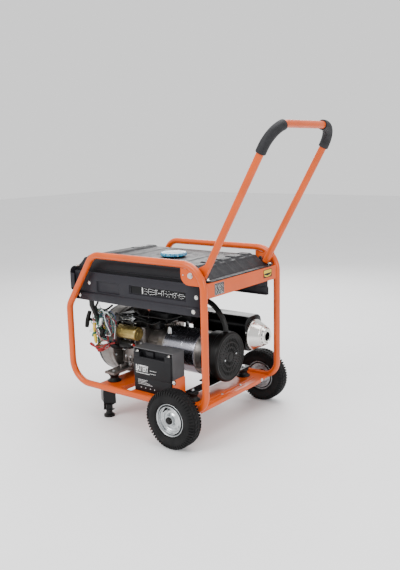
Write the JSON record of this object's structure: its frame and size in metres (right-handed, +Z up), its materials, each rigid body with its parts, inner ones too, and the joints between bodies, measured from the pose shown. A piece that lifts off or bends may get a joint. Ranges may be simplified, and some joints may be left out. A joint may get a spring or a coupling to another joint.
{
  "type": "portable generator",
  "caption": "Open-frame petrol generator with electric start battery, two wheels, support legs and a fold-over pull handle.",
  "frame": {"origin": "on the floor, under the middle of the whole object's box", "axes": "+Z up, +X towards the handle and wheel end, -Y the battery side"},
  "size_m": [0.94, 0.648, 1.1124],
  "materials": {
    "orange_paint": "satin gloss powder coat",
    "black_paint": "satin",
    "panel_paint": "satin powder coat",
    "zinc_steel": "bright zinc plate",
    "steel": "turned or rolled steel",
    "cast_aluminium": "as cast",
    "gold_zinc": "yellow chromate zinc plate",
    "rubber": "moulded",
    "tyre_rubber": "moulded",
    "foam": "foam sleeve",
    "black_plastic": "moulded",
    "blue_plastic": "moulded",
    "grey_plastic": "moulded",
    "red_plastic": "moulded"
  },
  "bodies": {
    "frame": {"side_loop_near": "orange_paint", "side_loop_far": "orange_paint", "gusset_near": "orange_paint", "gusset_far": "orange_paint", "handle_end_crossbar": "orange_paint", "recoil_end_base_rail": "orange_paint", "handle_end_base_rail": "orange_paint", "side_panel": "panel_paint", "control_panel": "panel_paint", "recoil_end_panel": "panel_paint", "axle": "steel", "leg_near": "black_paint", "foot_near": "rubber", "leg_far": "black_paint", "foot_far": "rubber", "engine_mount_recoil_end_near": "rubber", "engine_mount_recoil_end_far": "rubber", "engine_mount_handle_end_near": "rubber", "engine_mount_handle_end_far": "rubber", "pivot_bolt_near": "zinc_steel", "pivot_bolt_far": "zinc_steel", "crankcase": "cast_aluminium", "cylinder": "cast_aluminium", "valve_cover": "cast_aluminium", "fan_housing": "black_paint", "recoil_cover": "black_paint", "starter_motor": "gold_zinc", "carburettor": "cast_aluminium", "air_filter": "black_plastic", "alternator_adapter": "cast_aluminium", "stator": "steel", "alternator_end_bracket": "cast_aluminium", "alternator_end_cover": "black_plastic", "muffler": "black_paint", "spark_arrestor": "steel", "fuel_tank": "black_paint", "battery_tray": "orange_paint", "battery": "black_plastic", "battery_clamp": "grey_plastic", "conduit": "rubber", "wiring_harness": "rubber", "voltmeter": "black_plastic", "outlet": "black_plastic"},
    "near_wheel": {"tyre_near": "tyre_rubber", "rim_near": "zinc_steel"},
    "far_wheel": {"tyre_far": "tyre_rubber", "rim_far": "zinc_steel"},
    "handle_body": {"handle": "orange_paint", "grip_near": "foam", "grip_far": "foam"},
    "fuel_cap_body": {"fuel_cap": "blue_plastic"},
    "recoil_pull_body": {"recoil_handle": "black_plastic"},
    "crank_body": {"crankshaft": "steel", "flywheel": "cast_aluminium", "rotor": "steel"},
    "choke_body": {"choke_lever": "black_plastic"},
    "fuel_tap_body": {"fuel_tap": "black_plastic"},
    "oil_cap_body": {"oil_cap": "black_plastic"},
    "breaker_body": {"breaker_lever": "red_plastic"},
    "ignition_body": {"ignition_key": "steel"}
  },
  "joints": [
    {"name": "handle_fold", "type": "hinge", "parent": "frame", "child": "handle_body", "pos_m": [0.14821, 0, 0.607], "axis": [0, 1, 0], "range_deg": [-116, 0]},
    {"name": "near_wheel_spin", "type": "hinge", "parent": "frame", "child": "near_wheel", "pos_m": [0.09981, -0.2925, 0.106], "axis": [0, 1, 0], "continuous": true},
    {"name": "far_wheel_spin", "type": "hinge", "parent": "frame", "child": "far_wheel", "pos_m": [0.09981, 0.2925, 0.106], "axis": [0, 1, 0], "continuous": true},
    {"name": "recoil_pull", "type": "slide", "parent": "frame", "child": "recoil_pull_body", "axis": [0, -0.9444, 0.3289], "range_m": [0, 0.6]},
    {"name": "fuel_cap_turn", "type": "hinge", "parent": "frame", "child": "fuel_cap_body", "pos_m": [-0.11979, 0.004, 0.6225], "axis": [0, 0, 1], "range_deg": [0, 90]},
    {"name": "choke_turn", "type": "hinge", "parent": "frame", "child": "choke_body", "pos_m": [-0.35109, 0.1853, 0.352], "axis": [0, 1, 0], "range_deg": [0, 60]},
    {"name": "fuel_tap_turn", "type": "hinge", "parent": "frame", "child": "fuel_tap_body", "pos_m": [-0.37339, 0.165, 0.338], "axis": [1, 0, 0], "range_deg": [0, 90]},
    {"name": "oil_cap_turn", "type": "hinge", "parent": "frame", "child": "oil_cap_body", "pos_m": [-0.24079, -0.0853, 0.203], "axis": [0, -1, 0], "range_deg": [0, 360]},
    {"name": "breaker_switch", "type": "hinge", "parent": "frame", "child": "breaker_body", "pos_m": [-0.06779, 0.2278, 0.534], "axis": [1, 0, 0], "range_deg": [-50, 0]},
    {"name": "ignition_turn", "type": "hinge", "parent": "frame", "child": "ignition_body", "pos_m": [0.10721, 0.2183, 0.534], "axis": [0, 1, 0], "range_deg": [0, 80]},
    {"name": "crank_spin", "type": "hinge", "parent": "frame", "child": "crank_body", "pos_m": [-0.12779, 0, 0.261], "axis": [1, 0, 0], "continuous": true}
  ]
}
